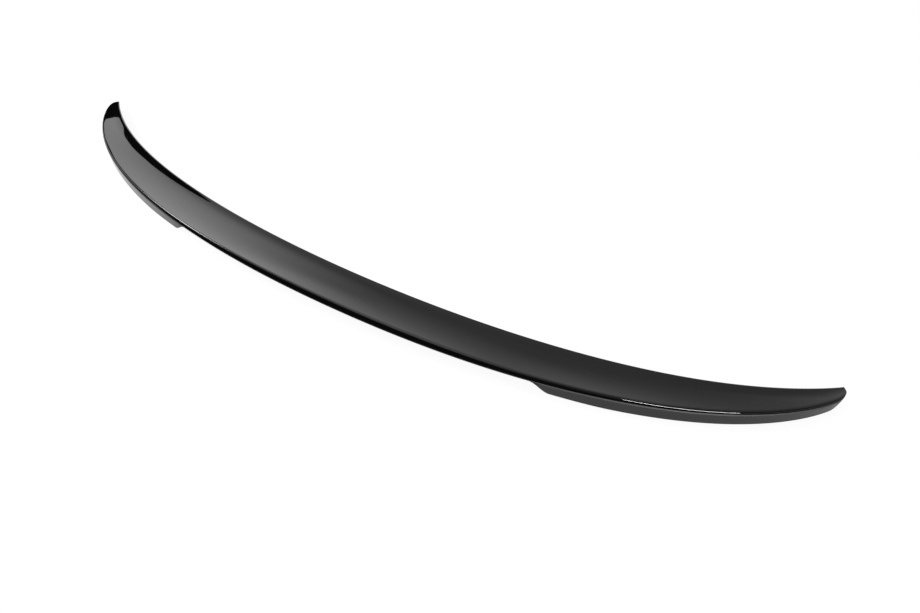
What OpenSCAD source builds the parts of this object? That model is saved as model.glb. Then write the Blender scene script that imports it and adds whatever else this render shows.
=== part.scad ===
// Boot-lid lip spoiler: one thin-walled moulding, swept along a crescent.
// X runs across the car, -Y points to its rear, Z is up. The skirts' lower rims lie at Z = 0.

/* [Plan] */
// Span across the front edge, from tip to tip
span = 1200; // [800:10:1600]
// How far the tips sweep forward of the middle of the front edge
tip_sweep = 145; // [60:1:200]
// Front edge to lip, square to the front edge, at the middle
chord = 73; // [60:1:100]
// Front edge to lip at the very tip
tip_chord = 6; // [5:0.5:12]

/* [Heights] */
// Front edge above the skirts' rims at the middle
edge_height = 20; // [16:0.5:40]
// Lip above the front edge at the middle
lip_rise = 13.5; // [6:0.5:30]
// Swell of the front edge between the middle and the tips
edge_swell = 6; // [0:0.5:10]
// Droop of the front edge towards the tips
tip_droop = 11; // [0:0.5:14]
// Dip of the skin behind the rounded front edge
edge_dip = 0.5; // [0:0.1:0.8]
// Width over which the skin dips
dip_width = 15; // [8:0.5:25]

/* [Rear face] */
// Forward lean of the rear face below the lip, in degrees
face_lean = 17; // [5:1:30]
// Foot of the rear face below the front edge
foot_drop = 4; // [3.5:0.5:8]
// Radius along the lip
lip_radius = 2; // [1:0.1:2.5]

/* [Skirts] */
// Middle of the part to the start of a skirt
skirt_start = 267; // [200:1:400]
// Length over which a skirt curves down to most of its depth
skirt_ramp = 26; // [20:1:60]
// Length over which a skirt settles to its full depth
skirt_settle = 100; // [60:5:200]
// How far a skirt stands out from the face above it
skirt_step = 1; // [0.5:0.1:2]
// Forward lean of a skirt, in degrees
skirt_lean = 6; // [0:1:15]

/* [Shell] */
// Wall of the skin and the rear face
wall = 2.5; // [2:0.1:3]
// Thickness of the rounded front edge
edge_thickness = 3; // [2.5:0.1:3.5]
// Width of the front seat for the bonding tape
seat_width = 12; // [8:0.5:15]
// Width of the rear flange for the bonding tape
flange_width = 9; // [6:0.5:12]
// Depth of the rear flange inside the foot's rim
tape_depth = 1; // [0.5:0.1:1.4]
// Height of the rim below the foot of the rear face
rim_height = 1.5; // [1.5:0.1:3]
// Thickness of the ribs under the skin
rib_thickness = 2; // [1.5:0.1:3]

/* [Hidden] */

half_span = span / 2;
ink = [0.03, 0.03, 0.035];

// Laws of the crescent

// Shares of the tip sweep that grow with the second, fourth and eighth power
sweep_powers = [2, 4, 8];
sweep_shares = [0.55, 0.25, 0.2];
// The front edge's swell grows slowly, its droop comes late
swell_power = 2;
droop_power = 8;
// The chord closes on the tip like a superellipse
close_power = 2.3;
close_root = 0.5;
// The lip sinks to the front edge's height towards the tips
rise_fade = 2.4;
// The skin is level at the front edge and kicks up to the lip
kick_power = 2;

function sweep(q) = tip_sweep * (sweep_shares * [for (p = sweep_powers) pow(q, p)]);
function sweep_slope(q) =
    tip_sweep / half_span * (sweep_shares * [for (p = sweep_powers) p * pow(q, p - 1)]);
function closing(q) = pow(1 - pow(q, close_power), close_root);
function chord_at(q) = tip_chord + (chord - tip_chord) * closing(q);
function edge_z(q) =
    edge_height + edge_swell * pow(q, swell_power) - tip_droop * pow(q, droop_power);
function rise_at(q) = lip_rise * pow(1 - pow(q, 2), rise_fade);
function foot_z(q) = edge_z(q) - foot_drop;

// The skirt's depth follows a short and a long half wave from its start, and runs out at the tip
settle_share = 0.15;
tip_share = 0.97;
function wave(t) = (1 - cos(180 * min(1, max(0, t)))) / 2;
function skirt_at(q) =
    let (along = q * half_span - skirt_start)
    blend(wave(along / skirt_ramp), wave(along / skirt_settle), settle_share)
        * (1 - wave((q - tip_share) / (1 - tip_share)));
function hem_z(q) = (foot_z(q) - rim_height) * (1 - skirt_at(q));

// Cross-section

// Sizes across the section shrink where the chord is too short for them
full_chord = seat_width + flange_width + 2 * wall;
function fit_at(q) = min(1, chord_at(q) / full_chord);
// The hollow closes where the chord or the skin's height leaves no room for it
close_chord = 1.4 * full_chord;
function hollow_at(q, room) =
    wave((chord_at(q) - full_chord) / (close_chord - full_chord)) * wave(room / wall);

nose_steps = 3;
skin_steps = 9;
lip_steps = 4;
roof_steps = 5;

function blend(a, b, t) = a + (b - a) * t;
function unit(v) = v / norm(v);
// Arc that rounds corner b of the path a-b-c
function corner(a, b, c, r, steps) =
    let (d = unit(a - b), e = unit(c - b), half = acos(d * e) / 2,
         centre = b + unit(d + e) * r / sin(half),
         from = b + d * r / tan(half) - centre, to = b + e * r / tan(half) - centre,
         turn = 180 - 2 * half)
    [for (i = [0:steps])
        centre + (from * sin(turn * (1 - i / steps)) + to * sin(turn * i / steps)) / sin(turn)];

// Dip of the skin at a distance behind the front edge
function dip_at(q, u) =
    let (k = fit_at(q), t = min(1, max(0, u / k - edge_thickness / 2) / dip_width))
    edge_dip * k * (1 - pow(1 - t, 2));
// Height of the skin's upper side at that distance
function skin_z(q, u) = edge_z(q) - dip_at(q, u) + rise_at(q) * pow(u / chord_at(q), kick_power);

// Outer side, from under the front edge over the skin and the lip to the skirt's hem
function outer_side(q) =
    let (c = chord_at(q), k = fit_at(q), z = edge_z(q), foot = foot_z(q), hem = hem_z(q),
         nose = edge_thickness / 2, reach = nose * k, r = lip_radius * k,
         lip = [c, skin_z(q, c)],
         face_foot = lip + (lip.y - foot) * k * [-tan(face_lean), 0] + [0, foot - lip.y],
         step = skirt_step * k * skirt_at(q),
         brow = face_foot + [step, -step - rim_height / 4],
         hem_out = [brow.x - (brow.y - hem) * tan(skirt_lean) * k, hem],
         last = c - 3 * r)
    concat(
        [for (i = [0:nose_steps]) let (a = 270 - 180 * i / nose_steps)
            [reach * (1 + cos(a)), z - nose + nose * sin(a)]],
        [for (i = [1:skin_steps]) let (u = blend(reach, last, i / skin_steps)) [u, skin_z(q, u)]],
        corner([last, skin_z(q, last)], lip, face_foot, r, lip_steps),
        [face_foot, brow, hem_out]);

// Inner side, from the hem up to the rear flange, round the hollow and down to the front seat
function inner_side(q) =
    let (c = chord_at(q), k = fit_at(q), outer = outer_side(q),
         last = len(outer) - 1, w = wall * k, foot = outer[last - 2],
         seat_z = edge_z(q) - edge_thickness, flange_z = foot_z(q) - rim_height + tape_depth,
         hem_in = outer[last] - [w, 0],
         back = [foot.x - w, flange_z],
         lap = back - [flange_width * k, 0],
         lean = tan(face_lean) * k,
         shelf_z = flange_z + wall,
         wall_foot = [foot.x - w + (shelf_z - foot.y) * lean, shelf_z],
         front = seat_width * k,
         rear = c - 2 * w,
         open = hollow_at(q, skin_z(q, rear) - wall - shelf_z),
         seat = [front, seat_z],
         roof = [for (i = [0:roof_steps])
            let (u = blend(rear, front, i / roof_steps)) [u, skin_z(q, u) - wall]],
         hollow = concat([[lap.x, shelf_z], wall_foot], roof),
         count = len(hollow))
    concat(
        [hem_in, back, lap],
        [for (i = [0:count - 1]) blend(blend(lap, seat, (i + 1) / (count + 1)), hollow[i], open)],
        [seat]);

function section(q) = concat(outer_side(q), inner_side(q));

// Sweep

// Places of the sections, as shares of the half span: close on the skirt's curve and at the tip
middle_steps = 8;
ramp_steps = 6;
end_steps = 24;
start_share = skirt_start / half_span;
full_share = (skirt_start + skirt_ramp) / half_span;
half_places = concat(
    [for (i = [0:middle_steps - 1]) start_share * i / middle_steps],
    [for (i = [0:ramp_steps - 1]) blend(start_share, full_share, i / ramp_steps)],
    [for (i = [0:end_steps]) blend(full_share, 1, sin(90 * i / end_steps))]);
places = concat([for (i = [len(half_places) - 1:-1:1]) -half_places[i]], half_places);

// Middle of the part's depth, so that it is centred on the origin
rear_reach = chord_at(0);
depth_centre = (tip_sweep - rear_reach) / 2;

function side(p) = p < 0 ? -1 : 1;
function edge_point(p) = [p * half_span, sweep(abs(p)) - depth_centre];
// Direction across the strip, square to the front edge, pointing to the rear
function across(p) = let (m = sweep_slope(abs(p))) unit([side(p) * m, -1]);
function place_point(p, v) = let (a = edge_point(p) + v.x * across(p)) [a.x, a.y, v.y];

module shell() {
    rings = [for (p = places) [for (v = section(abs(p))) place_point(p, v)]];
    size = len(rings[0]);
    count = len(rings);
    points = [for (ring = rings) each ring];
    sides = [for (j = [0:count - 2], i = [0:size - 1])
        let (a = j * size + i, b = j * size + (i + 1) % size)
        each [[a, b + size, b], [a, a + size, b + size]]];
    ends = [[for (i = [0:size - 1]) i], [for (i = [size - 1:-1:0]) (count - 1) * size + i]];
    polyhedron(points, concat(sides, ends));
}

// Ribs across the hollow, let into the skin, the rear face and the flange

rib_pitch = span / 12;
rib_count = 4;
rib_places = [for (i = [-rib_count:rib_count]) i * rib_pitch / half_span];

function rib_outline(q) =
    let (inner = inner_side(q), shelf = inner[3], wall_foot = inner[4],
         roof = [for (i = [5:len(inner) - 2]) inner[i]], sink = wall / 2)
    concat([shelf - [0, sink], wall_foot + [sink, -sink], roof[0] + [sink, sink / 2]],
        [for (i = [1:roof_steps]) roof[i] + [0, sink]]);

module rib(p) {
    a = edge_point(p);
    d = across(p);
    translate([a.x, a.y, 0]) rotate([0, 0, atan2(d.y, d.x)]) rotate([90, 0, 0])
        translate([0, 0, -rib_thickness / 2])
            linear_extrude(height = rib_thickness) polygon(rib_outline(abs(p)));
}

module spoiler() {
    color(ink) union() {
        shell();
        for (p = rib_places) rib(p);
    }
}

spoiler();
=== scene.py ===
"""Gloss-black boot-lid lip spoiler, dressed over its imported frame.

Everything is in metres in the part's own frame: X across the car, -Y to its rear, Z up.
"""
import math

import bpy
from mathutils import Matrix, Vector


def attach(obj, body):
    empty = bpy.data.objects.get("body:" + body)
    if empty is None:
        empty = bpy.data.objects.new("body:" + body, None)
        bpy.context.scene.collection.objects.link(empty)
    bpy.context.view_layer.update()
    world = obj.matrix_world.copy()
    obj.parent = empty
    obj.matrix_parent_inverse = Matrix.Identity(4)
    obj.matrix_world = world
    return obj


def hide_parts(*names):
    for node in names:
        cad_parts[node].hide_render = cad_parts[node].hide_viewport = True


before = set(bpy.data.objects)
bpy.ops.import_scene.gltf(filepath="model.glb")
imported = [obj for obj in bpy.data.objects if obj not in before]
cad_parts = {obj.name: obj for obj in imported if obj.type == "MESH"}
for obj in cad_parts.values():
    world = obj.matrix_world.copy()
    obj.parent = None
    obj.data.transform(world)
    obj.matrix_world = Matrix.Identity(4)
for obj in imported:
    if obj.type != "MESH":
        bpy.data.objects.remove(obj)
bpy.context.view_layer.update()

MM = 0.001

# Sizes of the moulding, as in the part's source
HALF_SPAN = 600 * MM
TIP_SWEEP = 145 * MM
CHORD = 73 * MM
TIP_CHORD = 6 * MM
EDGE_HEIGHT = 20 * MM
LIP_RISE = 13.5 * MM
EDGE_SWELL = 6 * MM
TIP_DROOP = 11 * MM
EDGE_DIP = 0.5 * MM
DIP_WIDTH = 15 * MM
FACE_LEAN = math.tan(math.radians(17))
FOOT_DROP = 4 * MM
LIP_RADIUS = 2 * MM
SKIRT_START = 267 * MM
SKIRT_RAMP = 26 * MM
SKIRT_SETTLE = 100 * MM
SKIRT_STEP = 1 * MM
SKIRT_LEAN = math.tan(math.radians(6))
WALL = 2.5 * MM
EDGE_THICKNESS = 3 * MM
SEAT_WIDTH = 12 * MM
FLANGE_WIDTH = 9 * MM
TAPE_DEPTH = 1 * MM
RIM_HEIGHT = 1.5 * MM
RIB_THICKNESS = 2 * MM
RIB_PITCH = HALF_SPAN / 6
RIB_COUNT = 4

# Laws of the crescent, as in the part's source
SWEEP_POWERS = (2, 4, 8)
SWEEP_SHARES = (0.55, 0.25, 0.2)
SWELL_POWER = 2
DROOP_POWER = 8
CLOSE_POWER = 2.3
CLOSE_ROOT = 0.5
RISE_FADE = 2.4
KICK_POWER = 2
SETTLE_SHARE = 0.15
TIP_SHARE = 0.97
FULL_CHORD = SEAT_WIDTH + FLANGE_WIDTH + 2 * WALL
CLOSE_CHORD = 1.4 * FULL_CHORD

# How finely the moulding is meshed
NOSE_STEPS = 8
SKIN_STEPS = 44
LIP_STEPS = 12
ROOF_STEPS = 14
MIDDLE_STEPS = 60
RAMP_STEPS = 24
END_STEPS = 110
SHARP_ANGLE = math.radians(32)


def sweep(q):
    """How far the front edge lies forward of its middle, at a share of the half span."""
    return TIP_SWEEP * sum(s * q ** p for s, p in zip(SWEEP_SHARES, SWEEP_POWERS))


def sweep_slope(q):
    shares = zip(SWEEP_SHARES, SWEEP_POWERS)
    return TIP_SWEEP / HALF_SPAN * sum(s * p * q ** (p - 1) for s, p in shares)


def chord_at(q):
    return TIP_CHORD + (CHORD - TIP_CHORD) * max(0.0, 1 - q ** CLOSE_POWER) ** CLOSE_ROOT


def edge_z(q):
    return EDGE_HEIGHT + EDGE_SWELL * q ** SWELL_POWER - TIP_DROOP * q ** DROOP_POWER


def rise_at(q):
    return LIP_RISE * max(0.0, 1 - q * q) ** RISE_FADE


def foot_z(q):
    return edge_z(q) - FOOT_DROP


def wave(t):
    """Half a wave that climbs from 0 to 1."""
    return (1 - math.cos(math.pi * min(1.0, max(0.0, t)))) / 2


def skirt_at(q):
    along = q * HALF_SPAN - SKIRT_START
    down = blend(wave(along / SKIRT_RAMP), wave(along / SKIRT_SETTLE), SETTLE_SHARE)
    return down * (1 - wave((q - TIP_SHARE) / (1 - TIP_SHARE)))


def hem_z(q):
    return (foot_z(q) - RIM_HEIGHT) * (1 - skirt_at(q))


def fit_at(q):
    """Scale of the sizes across the section, below 1 where the chord is short."""
    return min(1.0, chord_at(q) / FULL_CHORD)


def hollow_at(q, room):
    """How far the hollow is open: it closes where the chord or the room over the shelf ends."""
    return wave((chord_at(q) - FULL_CHORD) / (CLOSE_CHORD - FULL_CHORD)) * wave(room / WALL)


def blend(a, b, t):
    return a + (b - a) * t


def corner(a, b, c, radius, steps):
    """Arc that rounds corner b of the path a-b-c."""
    d = (a - b).normalized()
    e = (c - b).normalized()
    half = math.acos(max(-1.0, min(1.0, d.dot(e)))) / 2
    centre = b + (d + e).normalized() * radius / math.sin(half)
    start = b + d * radius / math.tan(half) - centre
    end = b + e * radius / math.tan(half) - centre
    turn = math.pi - 2 * half
    return [centre + (start * math.sin(turn * (1 - i / steps)) + end * math.sin(turn * i / steps))
            / math.sin(turn) for i in range(steps + 1)]


def dip_at(q, u):
    k = fit_at(q)
    t = min(1.0, max(0.0, u / k - EDGE_THICKNESS / 2) / DIP_WIDTH)
    return EDGE_DIP * k * (1 - (1 - t) ** 2)


def skin_z(q, u):
    return edge_z(q) - dip_at(q, u) + rise_at(q) * (u / chord_at(q)) ** KICK_POWER


def outer_side(q):
    """From under the front edge over the skin and the lip to the skirt's hem."""
    c, k, z, foot, hem = chord_at(q), fit_at(q), edge_z(q), foot_z(q), hem_z(q)
    nose = EDGE_THICKNESS / 2
    reach = nose * k
    r = LIP_RADIUS * k
    lip = Vector((c, skin_z(q, c)))
    face_foot = Vector((c - (lip.y - foot) * k * FACE_LEAN, foot))
    step = SKIRT_STEP * k * skirt_at(q)
    brow = face_foot + Vector((step, -step - RIM_HEIGHT / 4))
    hem_out = Vector((brow.x - (brow.y - hem) * SKIRT_LEAN * k, hem))
    last = c - 3 * r
    angles = [math.radians(270 - 180 * i / NOSE_STEPS) for i in range(NOSE_STEPS + 1)]
    points = [Vector((reach * (1 + math.cos(a)), z - nose + nose * math.sin(a))) for a in angles]
    for i in range(1, SKIN_STEPS + 1):
        u = blend(reach, last, i / SKIN_STEPS)
        points.append(Vector((u, skin_z(q, u))))
    points += corner(points[-1], lip, face_foot, r, LIP_STEPS)
    points += [face_foot, brow, hem_out]
    return points


def inner_side(q, outer):
    """From the hem up to the rear flange, round the hollow and down to the front seat."""
    c, k = chord_at(q), fit_at(q)
    foot, hem_out = outer[-3], outer[-1]
    w = WALL * k
    flange_z = foot_z(q) - RIM_HEIGHT + TAPE_DEPTH
    shelf_z = flange_z + WALL
    front, rear = SEAT_WIDTH * k, c - 2 * w
    open_share = hollow_at(q, skin_z(q, rear) - WALL - shelf_z)
    seat = Vector((front, edge_z(q) - EDGE_THICKNESS))
    back = Vector((foot.x - w, flange_z))
    lap = back - Vector((FLANGE_WIDTH * k, 0))
    hollow = [Vector((lap.x, shelf_z)),
              Vector((foot.x - w + (shelf_z - foot.y) * FACE_LEAN * k, shelf_z))]
    for i in range(ROOF_STEPS + 1):
        u = blend(rear, front, i / ROOF_STEPS)
        hollow.append(Vector((u, skin_z(q, u) - WALL)))
    closed = [lap.lerp(seat, (i + 1) / (len(hollow) + 1)) for i in range(len(hollow))]
    roof = [a.lerp(b, open_share) for a, b in zip(closed, hollow)]
    return [hem_out - Vector((w, 0)), back, lap] + roof + [seat]


def half_places():
    """Places of the sections, close together on the skirt's curve and at the tip."""
    start = SKIRT_START / HALF_SPAN
    full = (SKIRT_START + SKIRT_RAMP) / HALF_SPAN
    places = [start * i / MIDDLE_STEPS for i in range(MIDDLE_STEPS)]
    places += [blend(start, full, i / RAMP_STEPS) for i in range(RAMP_STEPS)]
    places += [blend(full, 1.0, math.sin(math.pi / 2 * i / END_STEPS)) for i in range(END_STEPS + 1)]
    return places


# Middle of the part's depth, so that it is centred on the origin
DEPTH_CENTRE = (TIP_SWEEP - CHORD) / 2


def side(p):
    return -1 if p < 0 else 1


def edge_point(p):
    return Vector((p * HALF_SPAN, sweep(abs(p)) - DEPTH_CENTRE))


def across(p):
    """Direction across the strip, square to the front edge, pointing to the rear."""
    return Vector((side(p) * sweep_slope(abs(p)), -1)).normalized()


def place_point(p, v):
    a = edge_point(p) + v.x * across(p)
    return (a.x, a.y, v.y)


def loft(rings):
    """Closed skin over a row of rings with equal counts of points."""
    size = len(rings[0])
    points = [v for ring in rings for v in ring]
    faces = []
    for j in range(len(rings) - 1):
        for i in range(size):
            a, b = j * size + i, j * size + (i + 1) % size
            faces.append((a, b, b + size, a + size))
    last = (len(rings) - 1) * size
    faces.append(tuple(range(size - 1, -1, -1)))
    faces.append(tuple(last + i for i in range(size)))
    return points, faces


def rib_rings(p):
    """The two faces of a rib across the hollow, let into the walls round it."""
    outer = outer_side(abs(p))
    inner = inner_side(abs(p), outer)
    shelf, wall_foot, roof = inner[3], inner[4], inner[5:-1]
    sink = WALL / 2
    outline = [shelf - Vector((0, sink)), wall_foot + Vector((sink, -sink)),
               roof[0] + Vector((sink, sink / 2))]
    outline += [v + Vector((0, sink)) for v in roof[1:]]
    d = across(p)
    along = Vector((-d.y, d.x, 0)) * RIB_THICKNESS / 2
    flat = [Vector(place_point(p, v)) for v in outline]
    return [[tuple(v - along) for v in flat], [tuple(v + along) for v in flat]]


# Material of each strip round the section, in the order of its points. The gloss ends part-way
# round the lip, where the satin of the rear face begins.
GLOSS, FACE, STEP, SKIRT, INSIDE = range(5)
POLISHED_STEPS = 8


def strip_materials(size):
    outside = [GLOSS] * (NOSE_STEPS + SKIN_STEPS + 1 + POLISHED_STEPS)
    outside += [FACE] * (LIP_STEPS - POLISHED_STEPS + 1) + [STEP, SKIRT]
    return outside + [INSIDE] * (size - len(outside))


def moulding():
    half = half_places()
    places = [-q for q in reversed(half[1:])] + half
    rings = []
    for p in places:
        outer = outer_side(abs(p))
        rings.append([place_point(p, v) for v in outer + inner_side(abs(p), outer)])
    points, faces = loft(rings)
    slots = strip_materials(len(rings[0])) * (len(rings) - 1) + [GLOSS] * 2
    for i in range(-RIB_COUNT, RIB_COUNT + 1):
        more, sides = loft(rib_rings(i * RIB_PITCH / HALF_SPAN))
        base = len(points)
        points += more
        faces += [tuple(base + v for v in face) for face in sides]
        slots += [INSIDE] * len(sides)
    mesh = bpy.data.meshes.new("moulding")
    mesh.from_pydata(points, [], faces)
    mesh.polygons.foreach_set("material_index", slots)
    mesh.update()
    mesh.shade_smooth()
    mesh.set_sharp_from_angle(angle=SHARP_ANGLE)
    piece = bpy.data.objects.new("moulding", mesh)
    bpy.context.scene.collection.objects.link(piece)
    return piece


# Plastics in the order of the strips' materials: name, darkest and lightest tone, smoothest and
# dullest polish, level of the reflections, depth of the peel
PLASTICS = (("gloss_black", 0.0015, 0.003, 0.012, 0.03, 0.5, 0.02 * MM),
            ("satin_face", 0.001, 0.002, 0.25, 0.4, 0.0, 0.03 * MM),
            # The step's tone is many times lighter than the other black plastics: a painted
            # highlight along the crease between the rear face and the skirt.
            ("step_painted_highlight", 0.025, 0.035, 0.45, 0.6, 0.2, 0.03 * MM),
            ("skirt_black", 0.0015, 0.003, 0.08, 0.14, 0.3, 0.02 * MM),
            ("inside_black", 0.008, 0.014, 0.4, 0.55, 0.4, 0.05 * MM))
PLASTIC_IOR = 1.5
BLUE_TINT = 1.1
PEEL_SCALE = 240.0
PEEL_DETAIL = 2.0
PEEL_STRENGTH = 0.1
HAZE_SCALE = 22.0
HAZE_DETAIL = 4.0


def black_plastic(name, dark, light, smooth, dull, level, peel_depth):
    """Black moulded plastic: a faint haze in tone and polish over a fine peel."""
    mat = bpy.data.materials.new(name)
    mat.use_nodes = True
    nodes, links = mat.node_tree.nodes, mat.node_tree.links
    shader = nodes["Principled BSDF"]
    shader.inputs["IOR"].default_value = PLASTIC_IOR
    shader.inputs["Specular IOR Level"].default_value = level
    place = nodes.new("ShaderNodeNewGeometry")
    peel = nodes.new("ShaderNodeTexNoise")
    peel.inputs["Scale"].default_value = PEEL_SCALE
    peel.inputs["Detail"].default_value = PEEL_DETAIL
    links.new(place.outputs["Position"], peel.inputs["Vector"])
    bump = nodes.new("ShaderNodeBump")
    bump.inputs["Strength"].default_value = PEEL_STRENGTH
    bump.inputs["Distance"].default_value = peel_depth
    links.new(peel.outputs["Fac"], bump.inputs["Height"])
    links.new(bump.outputs["Normal"], shader.inputs["Normal"])
    haze = nodes.new("ShaderNodeTexNoise")
    haze.inputs["Scale"].default_value = HAZE_SCALE
    haze.inputs["Detail"].default_value = HAZE_DETAIL
    links.new(place.outputs["Position"], haze.inputs["Vector"])
    rough = nodes.new("ShaderNodeMapRange")
    rough.inputs["To Min"].default_value = smooth
    rough.inputs["To Max"].default_value = dull
    links.new(haze.outputs["Fac"], rough.inputs["Value"])
    links.new(rough.outputs["Result"], shader.inputs["Roughness"])
    tone = nodes.new("ShaderNodeMix")
    tone.data_type = "RGBA"
    tone.inputs["A"].default_value = (dark, dark, dark * BLUE_TINT, 1)
    tone.inputs["B"].default_value = (light, light, light * BLUE_TINT, 1)
    links.new(haze.outputs["Fac"], tone.inputs["Factor"])
    links.new(tone.outputs["Result"], shader.inputs["Base Color"])
    return mat


# Camera, fitted to both halves of the outline in the photograph
TARGET = Vector((160.9 * MM, -50.8 * MM, 55.6 * MM))
AZIMUTH = math.radians(31.904)
ELEVATION = math.radians(43.126)
DISTANCE = 1250 * MM
SENSOR_MM = 36.0
LENS_MM = 39.677


def make_camera():
    level = math.cos(ELEVATION)
    back = Vector((math.sin(AZIMUTH) * level, -math.cos(AZIMUTH) * level, math.sin(ELEVATION)))
    data = bpy.data.cameras.new("camera")
    data.sensor_width = SENSOR_MM
    data.lens = LENS_MM
    cam = bpy.data.objects.new("camera", data)
    cam.location = TARGET + DISTANCE * back
    cam.rotation_euler = (math.pi / 2 - ELEVATION, 0, AZIMUTH)
    bpy.context.scene.collection.objects.link(cam)
    bpy.context.scene.camera = cam


# The studio: a white floor with a low rim, in a pale room that darkens upwards
FLOOR_HALF = 12.0
FLOOR_RIM = 1.4
FLOOR_COLOUR = 0.8
FLOOR_GLOW = 0.91
FLOOR_SHADE = 0.15
ROOM_LOW = 1.137
ROOM_HIGH = 0.457
ROOM_FADE = (8.0, 34.8)
# Soft lights round the part: azimuth, elevation and radius in degrees, and strength
SOFT_LIGHTS = ((-47.5, 27.3, 15.1, 1.93),
               (-42.5, 14.4, 14.8, 1.95),
               (-3.5, 27.7, 19.0, 2.27),
               (-95.0, 60.0, 45.0, 1.6),
               (-163.0, 26.0, 24.0, 1.5))
# The room is darker on the camera's side: its level there, the other side's azimuth, the fade
DARK_SIDE = 0.15
LIGHT_SIDE = -40.0
SIDE_FADE = (-0.6, 0.5)
# A black board shades the left light's far side; its edge in its own plane, left and up in metres
BOARD_PLACE = (-51.0, 30.0)
BOARD_DISTANCE = 3.0
BOARD_AIM = Vector((-0.45, 0.05, 0.02))
BOARD_EDGE = ((0.03, 0.577), (-0.045, 0.577), (-0.087, 0.537), (-0.068, 0.464), (-0.055, 0.405),
              (-0.027, 0.343), (0.007, 0.283), (0.03, 0.231), (0.077, 0.172), (0.107, 0.093),
              (0.132, 0.045), (0.163, 0.0), (0.186, -0.045), (0.21, -0.076), (0.245, -0.1),
              (0.273, -0.126), (0.29, -0.162), (0.296, -0.2), (0.297, -0.3), (0.285, -0.328),
              (0.24, -0.347), (0.1, -0.355), (0.0, -0.36), (0.0, -0.8))
BOARD_FAR = 1.3
BOARD_COLOUR = 0.004
# Lamps: name, azimuth and elevation in degrees, width and height in metres, watts. The low strip
# draws the highlight on the right of the lip, the other the one on its left.
LAMPS = (("key", (140, 6), (1.6, 0.3), 150),
         ("side", (-103, 34), (1.0, 0.6), 38))
LAMP_DISTANCE = 3.0


def material(name):
    """Empty material with its nodes, links and output."""
    mat = bpy.data.materials.new(name)
    mat.use_nodes = True
    nodes = mat.node_tree.nodes
    nodes.clear()
    return mat, nodes, mat.node_tree.links, nodes.new("ShaderNodeOutputMaterial")


def seen_rays(nodes, links):
    """1 for camera, mirror and see-through rays, 0 for the rest."""
    path = nodes.new("ShaderNodeLightPath")
    last = path.outputs["Is Camera Ray"]
    for name in ("Is Glossy Ray", "Is Transmission Ray"):
        either = nodes.new("ShaderNodeMath")
        either.operation = "MAXIMUM"
        links.new(last, either.inputs[0])
        links.new(path.outputs[name], either.inputs[1])
        last = either.outputs["Value"]
    return last


def floor_material():
    """White for the picture and for mirror images, plain pale paint for all other light."""
    mat, nodes, links, out = material("floor_white")
    plain = nodes.new("ShaderNodeBsdfDiffuse")
    plain.inputs["Color"].default_value = (FLOOR_COLOUR, FLOOR_COLOUR, FLOOR_COLOUR, 1)
    shade = nodes.new("ShaderNodeBsdfDiffuse")
    level = FLOOR_COLOUR * FLOOR_SHADE
    shade.inputs["Color"].default_value = (level, level, level, 1)
    glow = nodes.new("ShaderNodeEmission")
    glow.inputs["Strength"].default_value = FLOOR_GLOW
    add = nodes.new("ShaderNodeAddShader")
    mix = nodes.new("ShaderNodeMixShader")
    links.new(shade.outputs["BSDF"], add.inputs[0])
    links.new(glow.outputs["Emission"], add.inputs[1])
    links.new(seen_rays(nodes, links), mix.inputs["Fac"])
    links.new(plain.outputs["BSDF"], mix.inputs[1])
    links.new(add.outputs["Shader"], mix.inputs[2])
    links.new(mix.outputs["Shader"], out.inputs["Surface"])
    return mat


def stage_object(name, points, faces, mat):
    """Object of the studio, which isn't part of the moulding."""
    mesh = bpy.data.meshes.new(name)
    mesh.from_pydata([tuple(v) for v in points], [], faces)
    mesh.materials.append(mat)
    sheet = bpy.data.objects.new(name, mesh)
    bpy.context.scene.collection.objects.link(sheet)


def make_floor():
    """Floor with a low rim, which hides the room behind it in views from low down."""
    h = FLOOR_HALF
    points = [(x, y, z) for z in (0, FLOOR_RIM) for x, y in ((-h, -h), (h, -h), (h, h), (-h, h))]
    rim = [(i, i + 4, (i + 1) % 4 + 4, (i + 1) % 4) for i in range(4)]
    stage_object("floor", points, [(0, 1, 2, 3)] + rim, floor_material())


def toward(azimuth, elevation):
    """Direction at an azimuth from +Y towards +X and an elevation, in degrees."""
    a, e = math.radians(azimuth), math.radians(elevation)
    return Vector((math.sin(a) * math.cos(e), math.cos(a) * math.cos(e), math.sin(e)))


def board_material():
    mat, nodes, links, out = material("board_black")
    plain = nodes.new("ShaderNodeBsdfDiffuse")
    plain.inputs["Color"].default_value = (BOARD_COLOUR, BOARD_COLOUR, BOARD_COLOUR, 1)
    links.new(plain.outputs["BSDF"], out.inputs["Surface"])
    return mat


def make_board():
    """Board square to the line from the part, with an outline in its own plane."""
    facing = toward(*BOARD_PLACE)
    left = Vector((0, 0, 1)).cross(facing).normalized()
    up = facing.cross(left)
    centre = BOARD_AIM + BOARD_DISTANCE * facing
    edge = list(BOARD_EDGE) + [(BOARD_FAR, BOARD_EDGE[-1][1]), (BOARD_FAR, BOARD_EDGE[0][1])]
    points = [centre + x * left + y * up for x, y in edge]
    stage_object("board", points, [tuple(range(len(edge)))], board_material())


def share(nodes, links, direction, axis):
    """How far a direction points along an axis: the cosine between them."""
    product = nodes.new("ShaderNodeVectorMath")
    product.operation = "DOT_PRODUCT"
    product.inputs[1].default_value = axis
    links.new(direction, product.inputs[0])
    return product.outputs["Value"]


def soft_light(nodes, links, direction, place, radius, strength):
    """Round soft light in the room: strongest at its middle, none past its radius."""
    angle = nodes.new("ShaderNodeMath")
    angle.operation = "ARCCOSINE"
    links.new(share(nodes, links, direction, toward(*place)), angle.inputs[0])
    fall = nodes.new("ShaderNodeMapRange")
    fall.interpolation_type = "SMOOTHSTEP"
    fall.inputs["From Min"].default_value = 0.0
    fall.inputs["From Max"].default_value = math.radians(radius)
    fall.inputs["To Min"].default_value = strength
    fall.inputs["To Max"].default_value = 0.0
    links.new(angle.outputs["Value"], fall.inputs["Value"])
    return fall.outputs["Result"]


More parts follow.
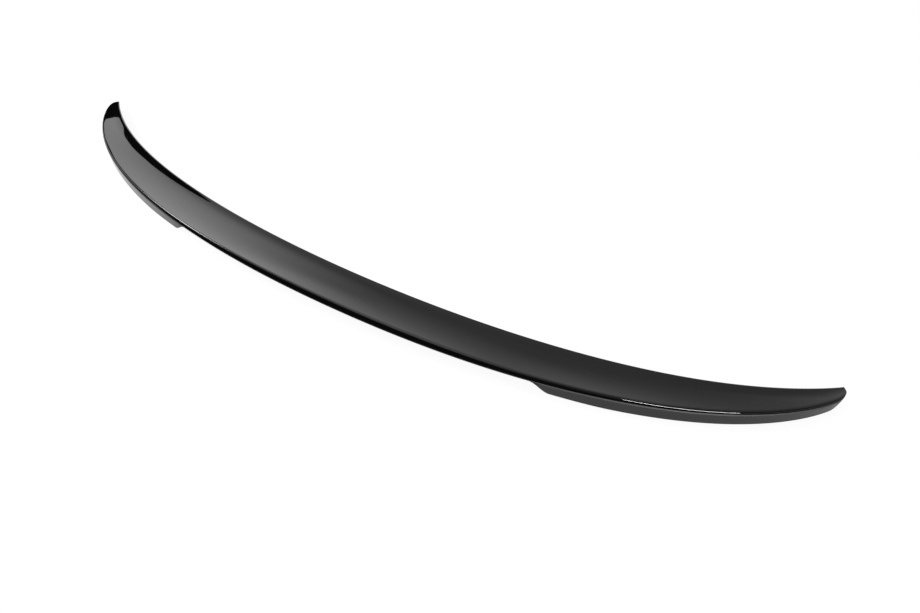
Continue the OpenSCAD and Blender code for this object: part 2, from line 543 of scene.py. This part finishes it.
def fade(nodes, links, along, span, start, end):
    """Level that changes from start to end as the share along an axis crosses a span."""
    change = nodes.new("ShaderNodeMapRange")
    change.inputs["From Min"].default_value, change.inputs["From Max"].default_value = span
    change.inputs["To Min"].default_value = start
    change.inputs["To Max"].default_value = end
    links.new(along, change.inputs["Value"])
    return change.outputs["Result"]


def heights(span):
    """Upward shares of the directions at two elevations."""
    return [math.sin(math.radians(elevation)) for elevation in span]


def combine(nodes, links, operation, a, b):
    """Sum, product or other result of two values."""
    node = nodes.new("ShaderNodeMath")
    node.operation = operation
    links.new(a, node.inputs[0])
    links.new(b, node.inputs[1])
    return node.outputs["Value"]


def make_world():
    """Room: its level fades upwards and to the camera's side, and the soft lights add to it."""
    world = bpy.data.worlds.new("world")
    bpy.context.scene.world = world
    world.use_nodes = True
    nodes, links = world.node_tree.nodes, world.node_tree.links
    back = nodes["Background"]
    back.inputs["Color"].default_value = (1, 1, 1, 1)
    direction = nodes.new("ShaderNodeTexCoord").outputs["Generated"]
    height = share(nodes, links, direction, Vector((0, 0, 1)))
    aside = share(nodes, links, direction, toward(LIGHT_SIDE, 0))
    level = combine(nodes, links, "MULTIPLY",
                    fade(nodes, links, height, heights(ROOM_FADE), ROOM_LOW, ROOM_HIGH),
                    fade(nodes, links, aside, SIDE_FADE, DARK_SIDE, 1.0))
    for azimuth, elevation, radius, strength in SOFT_LIGHTS:
        level = combine(nodes, links, "ADD", level,
                        soft_light(nodes, links, direction, (azimuth, elevation), radius, strength))
    links.new(level, back.inputs["Strength"])


def area_light(name, place, size, watts):
    """Softbox at an azimuth and an elevation, facing the part."""
    data = bpy.data.lights.new(name, "AREA")
    data.shape = "RECTANGLE"
    data.size, data.size_y = size
    data.energy = watts
    lamp = bpy.data.objects.new(name, data)
    lamp.location = LAMP_DISTANCE * toward(*place)
    lamp.rotation_euler = (-lamp.location).to_track_quat("-Z", "Y").to_euler()
    bpy.context.scene.collection.objects.link(lamp)


body = moulding()
for plastic in PLASTICS:
    body.data.materials.append(black_plastic(*plastic))
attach(body, "root")
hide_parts("spoiler")

make_camera()
make_floor()
make_world()
make_board()
for lamp in LAMPS:
    area_light(*lamp)

bpy.context.scene.view_settings.view_transform = "Standard"
